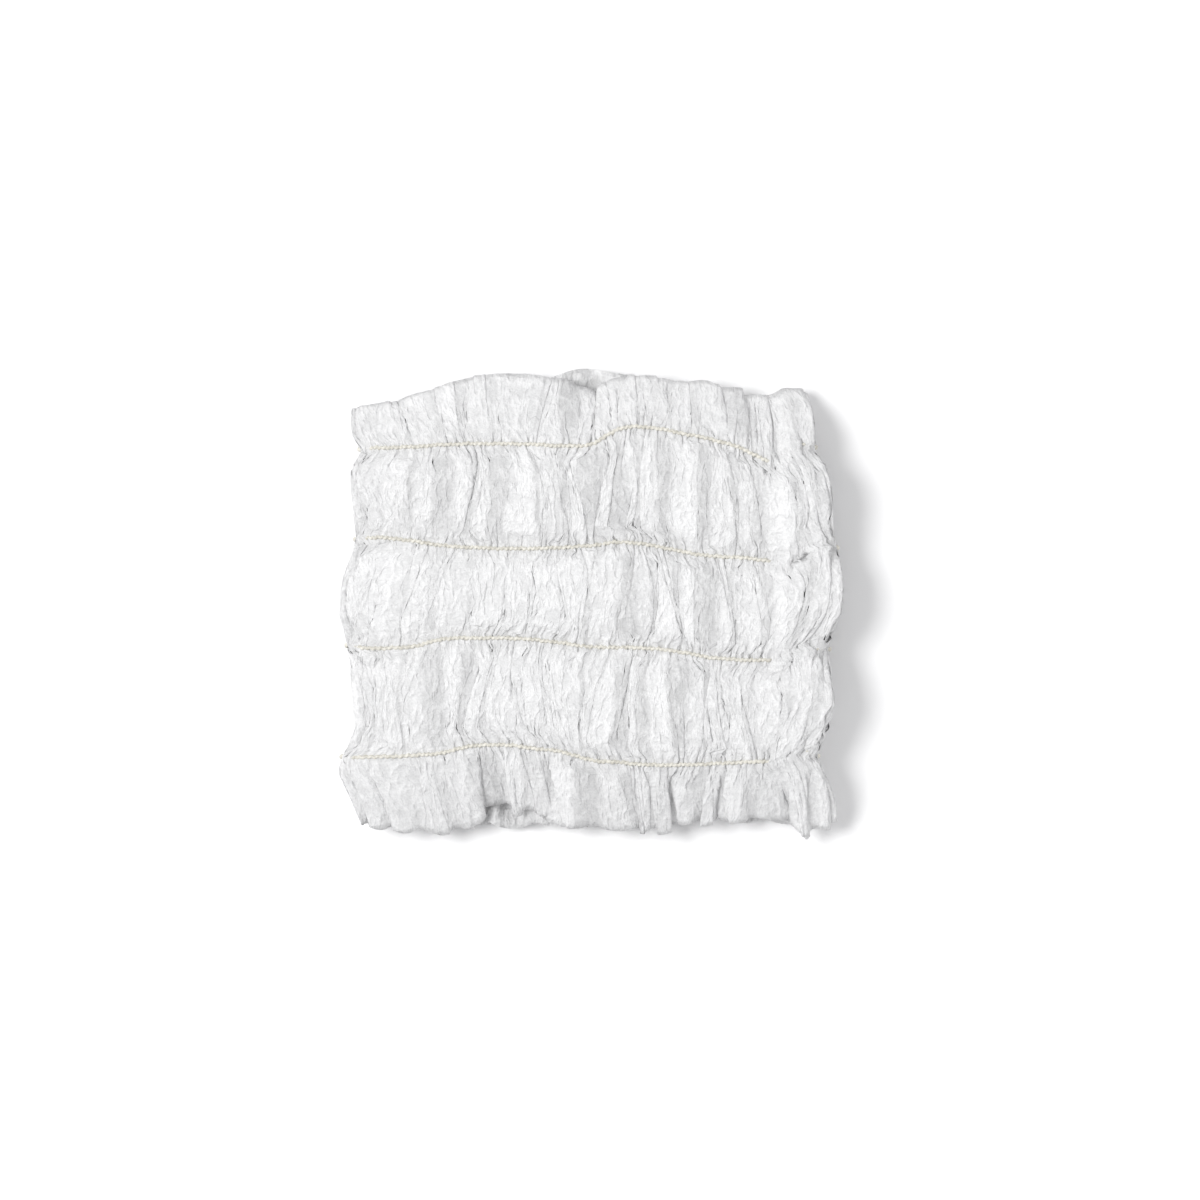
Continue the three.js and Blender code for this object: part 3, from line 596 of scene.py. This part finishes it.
def laid(points):
    """The settled points as the loop lies: the front's relief pressed to a share of its height, less so
    along the lines and more on the middle puff's smooth flap, the frills drooping, and the sides at their
    outline."""
    x, y, z = np.moveaxis(to_outline(points, -CLOTH_THICKNESS / 2), -1, 0)
    is_front = ramp(z / FRONT_FROM - 1)
    on_seam = np.exp(-(((x - SEAM_AT) / SEAM_SPREAD) ** 2)) * is_front
    flap = ramp((x - FLAP_FROM) / FLAP_FADE_IN) * ramp((FLAP_TO - x) / FLAP_FADE_OUT)
    flap = flap * (row_zone == MIDDLE_PUFF)[:, None]
    apart = np.where(row_zone == BOTTOM_FRILL, FRILL_PRESSED, PRESSED)[:, None]
    kept = apart + (LINE_PRESSED - apart) * (1 - ramp(from_line / LINE_REACH))
    kept = kept * (1 - np.maximum(SEAM_PRESSED * on_seam, FLAP_PRESSED * flap * swell))
    corner = ramp((x - CORNER_FROM) / CORNER_OVER) * (row_zone == TOP_FRILL)[:, None]
    droop = FRILL_DROOP + CORNER_DROOP * corner
    level = FRONT_LEVEL + np.where(is_frill, -droop * from_line**DROOP_CURVE, FRONT_PUFF * swell)
    z = z + is_front * (level - z) * (1 - kept) + SEAM_RISE * on_seam
    z = z - (1 - is_front) * (z.min() - CLOTH_THICKNESS / 2)
    return np.stack([x, y, np.maximum(z, CLOTH_THICKNESS / 2)], axis=-1)


band_points = laid(band_points)


FOLD_RADIUS = 0.8  # of a bend that counts as sharp
SEAM_HIGHLIGHT = 0.2  # how much of a fold's painted edge highlight the seam shows
BACK_SHADE_LAYERS = 0.7  # of cloth, with only the table behind; set low, it paints shade onto the back


def fold_edges(points):
    """How sharply the cloth bends at each point, from -1 inwards to 1 outwards: its distance along the
    outward normal from the middle of its neighbours round the loop, over their distance along the cloth
    squared."""
    before, after = np.roll(points, 2, axis=1), np.roll(points, -2, axis=1)
    normal = np.cross(np.gradient(points, axis=0), after - before)
    normal /= np.linalg.norm(normal, axis=-1, keepdims=True) + 1e-9
    spacing = 2 * flat_length / COLUMNS
    bend = np.sum((points - (before + after) / 2) * normal, axis=-1) / spacing**2
    bend = (bend + np.roll(bend, 1, axis=1) + np.roll(bend, -1, axis=1)) / 3
    bend[1:-1] = (bend[:-2] + 2 * bend[1:-1] + bend[2:]) / 4
    return np.tanh(FOLD_RADIUS * bend)


# How the cloth bends, which paints a highlight on outward folds and the seam and shade in inward creases
fold = fold_edges(band_points)
seam_front = np.exp(-(((band_points[..., 0] - SEAM_AT) / SEAM_SPREAD) ** 2))
seam_front = seam_front * (band_points[..., 2] > MID_LEVEL)
fold = np.maximum(fold, SEAM_HIGHLIGHT * seam_front)
# Painted shade: the back wall takes a low layer count, so its cloth comes out darker
layers_and_shade = np.where(band_points[..., 2] > MID_LEVEL / 2, layers_and_shade, BACK_SHADE_LAYERS)

# Fibres lie unevenly in the cloth, so it shows flecks, clouds and pale veins, and it is finely crinkled.
# More layers of it look whiter and let less light through. The colour also holds painted light: a painted
# highlight on outward folds, the seam and the crinkle's crests, and painted shade in inward creases, in
# the hollows between folds and on the back
THIN, THICK = 0.7, 3.0  # layers of cloth
WHITEST = 0.985
nonwoven, node, link, surface = new_material("nonwoven")
cut = node("ShaderNodeUVMap")
cut.uv_map = "cut"


def spread(value, from_low, from_high, to_low, to_high):
    """The value carried from one range to another, and held at its ends."""
    span = node("ShaderNodeMapRange")
    ends = {"From Min": from_low, "From Max": from_high, "To Min": to_low, "To Max": to_high}
    for name, end in ends.items():
        span.inputs[name].default_value = end
    link(value, span.inputs["Value"])
    return span.outputs["Result"]


NOISE_RANGE = {"FBM": (0.3, 0.7), "RIDGED_MULTIFRACTAL": (0.6, 1.8)}  # of most of the noise's values


def cloth_noise(kind, across, down, detail, low, high):
    """A noise over the flat cut whose largest features have these sizes (mm), spread from low to high."""
    sized = node("ShaderNodeVectorMath")
    sized.operation = "MULTIPLY"
    sized.inputs[1].default_value = (1 / (across * MM), 1 / (down * MM), 0)
    link(cut.outputs["UV"], sized.inputs[0])
    noise = node("ShaderNodeTexNoise")
    noise.noise_dimensions = "2D"
    noise.noise_type = kind
    noise.inputs["Scale"].default_value = 1.0
    noise.inputs["Detail"].default_value = detail
    noise.inputs["Roughness"].default_value = 0.6
    if kind == "RIDGED_MULTIFRACTAL":
        noise.inputs["Offset"].default_value = 1.0
        noise.inputs["Gain"].default_value = 2.0
    link(sized.outputs["Vector"], noise.inputs["Vector"])
    return spread(noise.outputs["Fac"], *NOISE_RANGE[kind], low, high)


def total(*values):
    """The sum of some values."""
    result = values[0]
    for value in values[1:]:
        add = node("ShaderNodeMath")
        link(result, add.inputs[0])
        link(value, add.inputs[1])
        result = add.outputs[0]
    return result


def point_value(name):
    """A value kept at the points of the cloth."""
    kept = node("ShaderNodeAttribute")
    kept.attribute_name = name
    return kept.outputs["Fac"]


flecks = cloth_noise("FBM", 0.4, 0.4, 1.0, -0.04, 0.04)
clumps = cloth_noise("FBM", 1.1, 1.1, 2.0, -0.03, 0.03)
# paler fibre veins; made from the same noise as the crinkle's creases, they also paint a highlight on its
# crests
veins_and_crinkle_highlight = cloth_noise("RIDGED_MULTIFRACTAL", 2.4, 4.0, 2.0, -0.05, 0.07)
clouds = cloth_noise("FBM", 3.5, 5.0, 2.0, -0.03, 0.03)
streaks = cloth_noise("FBM", 0.8, 6.0, 2.0, -0.03, 0.03)
# whiter with more layers of cloth; this carries the painted shade of the hollows and the back
whiteness_and_shade = spread(point_value("layers_and_shade"), THIN, THICK, 0.835, 0.945)
# painted highlight on outward folds and the seam, painted shade in inward creases
fold_highlight_and_shade = spread(point_value("fold"), -1.0, 1.0, -0.01, 0.05)
whole = total(whiteness_and_shade, flecks, clumps, veins_and_crinkle_highlight, clouds, streaks, fold_highlight_and_shade)
tone = spread(whole, 0.0, WHITEST, 0.0, WHITEST)
creases = cloth_noise("RIDGED_MULTIFRACTAL", 2.4, 4.0, 2.0, 0.0, 0.25 * MM)
ripples = cloth_noise("FBM", 3.0, 0.8, 1.0, 0.0, 0.06 * MM)
grain = cloth_noise("FBM", 0.6, 0.6, 1.0, 0.0, 0.03 * MM)
crinkle = node("ShaderNodeBump")
crinkle.inputs["Strength"].default_value = 1.0
crinkle.inputs["Distance"].default_value = 1.0
link(total(creases, ripples, grain), crinkle.inputs["Height"])
fibre = node("ShaderNodeBsdfPrincipled")
fibre.inputs["Roughness"].default_value = 0.45
fibre.inputs["Specular IOR Level"].default_value = 0.5
link(tone, fibre.inputs["Base Color"])
link(crinkle.outputs["Normal"], fibre.inputs["Normal"])
through = node("ShaderNodeBsdfTranslucent")
link(tone, through.inputs["Color"])
both = node("ShaderNodeMixShader")
link(spread(point_value("layers_and_shade"), THIN, THICK, 0.32, 0.16), both.inputs["Fac"])
link(fibre.outputs[0], both.inputs[1])
link(through.outputs[0], both.inputs[2])
link(both.outputs[0], surface)

band = mesh_object("gathered_cloth", band_points.reshape(-1, 3) * MM, band_faces, nonwoven)
cut_round = np.broadcast_to(np.append(flat_round, flat_length), (ROWS, COLUMNS + 1))
cut_height = np.concatenate([flat_height, flat_height[:, :1]], axis=1)
cut_points = np.stack([cut_round, cut_height], axis=-1) * MM
cut_corners = [cut_points[:-1, :-1], cut_points[1:, :-1], cut_points[1:, 1:], cut_points[:-1, 1:]]
cut_map = band.data.uv_layers.new(name="cut")
cut_map.data.foreach_set("uv", np.stack(cut_corners, axis=2).ravel())
band.data.attributes.new("fold", "FLOAT", "POINT").data.foreach_set("value", fold.ravel())
band.data.attributes.new("layers_and_shade", "FLOAT", "POINT").data.foreach_set("value", layers_and_shade.ravel())
thickness = band.modifiers.new("thickness", "SOLIDIFY")
thickness.thickness = CLOTH_THICKNESS * MM
thickness.offset = 0.0
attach(band, "root")
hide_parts("gathered_band")

# The elastics
# Four thin covered threads of an ivory tone, each laid round the loop from one side of the seam to the
# other and caught down by a chain of small stitches, half sunk between the pleats they draw up.
ELASTIC_RADIUS = 0.36
ELASTIC_OUT = 0.3  # middle of the thread outwards of the middle of the cloth
ELASTIC_SIDES = 10
ELASTIC_STEPS = 1500
STITCH = 0.9  # pitch of the stitches along the thread
STITCH_RISE = 0.11
START_GAP = 1.2  # from the seam's foot to the start of a thread
END_DIP = 1.6  # of a thread's ends under the cloth, and the way over which they dip
WAVER_OUT, WAVER_ALONG = 0.1, 0.12  # of a thread out of its even course
WEAR_SIZE = 0.7  # of the patches where the covering is paler
ELASTIC_NODES = {1: "elastic_top", 2: "elastic_upper", 3: "elastic_lower", 4: "elastic_bottom"}

ivory, node, link, surface = new_material("elastic")
covering = node("ShaderNodeBsdfPrincipled")
worn = node("ShaderNodeTexNoise")
worn.inputs["Scale"].default_value = 1 / (WEAR_SIZE * MM)
link(node("ShaderNodeTexCoord").outputs["Object"], worn.inputs["Vector"])
shades = node("ShaderNodeValToRGB")
shades.color_ramp.elements[0].position = 0.35
shades.color_ramp.elements[0].color = (0.57, 0.55, 0.49, 1)
shades.color_ramp.elements[1].position = 0.65
shades.color_ramp.elements[1].color = (0.81, 0.79, 0.72, 1)
link(worn.outputs["Fac"], shades.inputs["Fac"])
link(shades.outputs["Color"], covering.inputs["Base Color"])
covering.inputs["Roughness"].default_value = 0.8
covering.inputs["Specular IOR Level"].default_value = 0.2
link(covering.outputs[0], surface)


def thread_surface(line):
    """Rings of a thread along an elastic line. Its radius swells in a helix with the pitch of the stitches,
    and its ends dip under the cloth beside the seam."""
    start = SEAM_AT + SEAM_HALF + START_GAP
    way = np.linspace(start, SEAM_AT - SEAM_HALF + LOOP, ELASTIC_STEPS)
    to_end = np.minimum(way - way[0], way[-1] - way)
    out = ELASTIC_OUT - END_DIP * (1 - ramp(to_end / END_DIP))
    out = out + WAVER_OUT * wander(way, [2.1, 3.7, 5.3], seed=20 + line)
    across, up = loop_point(way, out)
    y = line_height(line, way) + WAVER_ALONG * wander(way, [1.9, 3.1, 6.7], seed=30 + line)
    middle = to_outline(np.stack([across, y, up], axis=-1), ELASTIC_OUT)
    ahead = np.gradient(middle, axis=0)
    ahead /= np.linalg.norm(ahead, axis=1, keepdims=True)
    side = np.cross(ahead, [0, 1, 0])
    side /= np.linalg.norm(side, axis=1, keepdims=True)
    other = np.cross(side, ahead)
    turn = np.arange(ELASTIC_SIDES) * 2 * np.pi / ELASTIC_SIDES
    radius = ELASTIC_RADIUS + STITCH_RISE * np.cos(turn - 2 * np.pi * way[:, None] / STITCH)
    radius = radius[..., None]
    ring = np.cos(turn)[:, None] * side[:, None] + np.sin(turn)[:, None] * other[:, None]
    return middle[:, None] + radius * ring


ring_index = np.arange(ELASTIC_STEPS * ELASTIC_SIDES).reshape(ELASTIC_STEPS, ELASTIC_SIDES)
ring_next = np.roll(ring_index, -1, axis=1)
ring_walls = np.stack([ring_index[:-1], ring_index[1:], ring_next[1:], ring_next[:-1]], axis=-1)
thread_ends = [ring_index[0].tolist(), ring_index[-1, ::-1].tolist()]
thread_faces = [*ring_walls.reshape(-1, 4).tolist(), *thread_ends]
for line, cad_node in ELASTIC_NODES.items():
    thread_points = thread_surface(line).reshape(-1, 3) * MM
    thread = mesh_object(f"thread_{cad_node}", thread_points, thread_faces, ivory)
    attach(thread, "root")
    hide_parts(cad_node)
